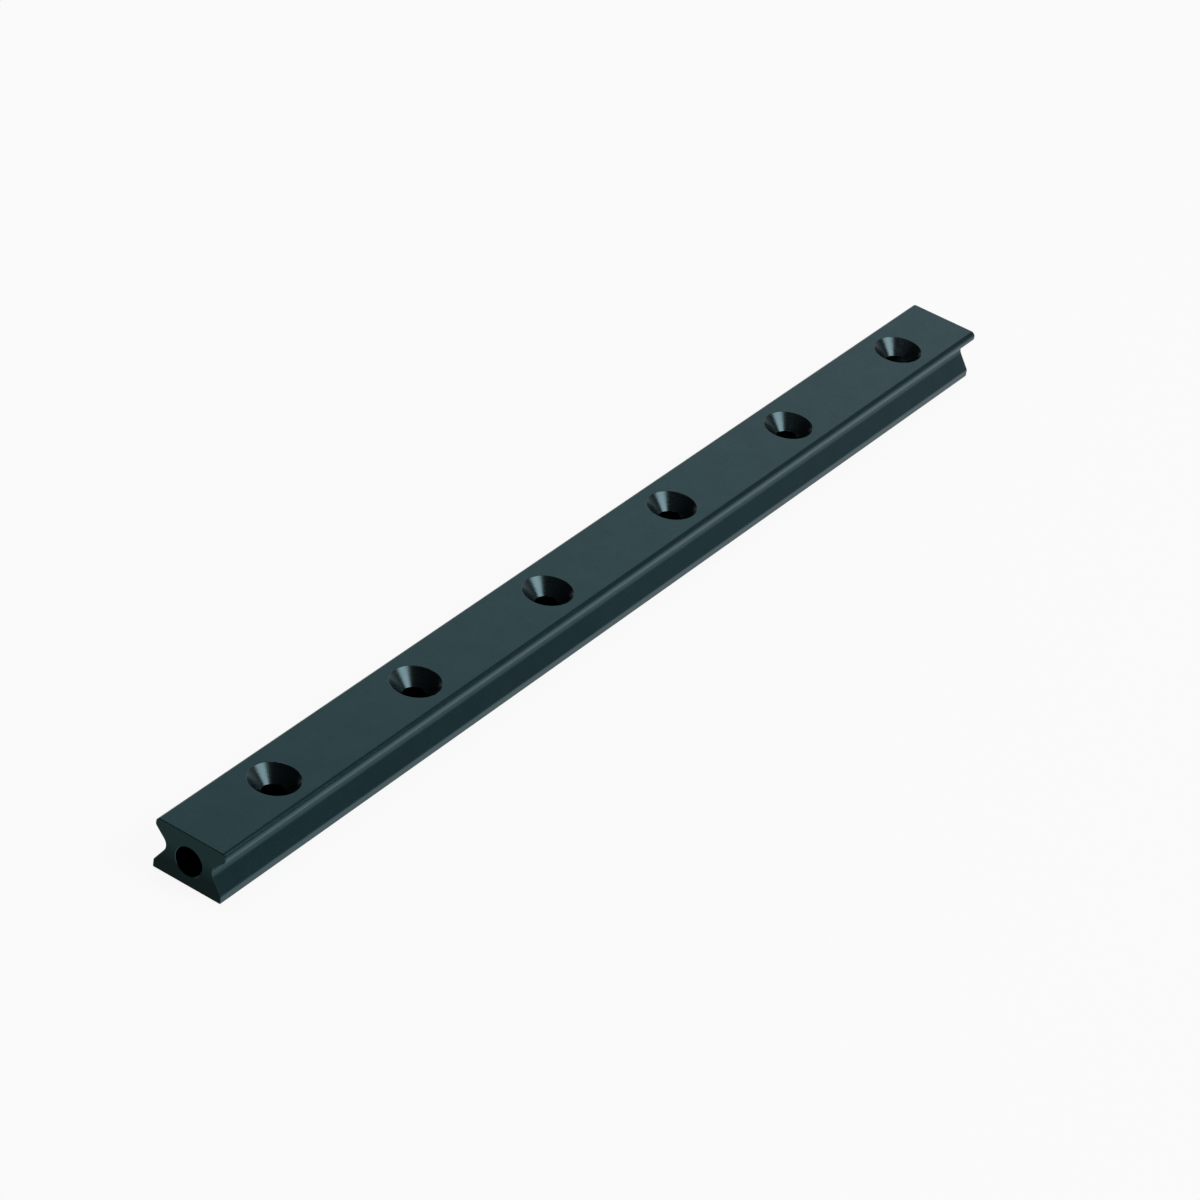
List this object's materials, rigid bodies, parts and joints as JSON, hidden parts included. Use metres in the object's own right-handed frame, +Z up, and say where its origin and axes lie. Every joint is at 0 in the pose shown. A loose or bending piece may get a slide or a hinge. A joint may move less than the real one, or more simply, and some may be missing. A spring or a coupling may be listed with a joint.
{
  "type": "sail track section",
  "caption": "Straight length of dark anodised aluminium sail track with a ball groove in each side, a round lengthwise channel and a row of countersunk screw holes",
  "frame": {"origin": "centre of the underside", "axes": "X runs along the track, Y across it, Z up from the underside to the countersunk face"},
  "size_m": [0.3, 0.019, 0.0132],
  "materials": {
    "anodised_aluminium": "dark grey anodised, satin"
  },
  "bodies": {
    "root": {"track": "anodised_aluminium"}
  },
  "joints": []
}
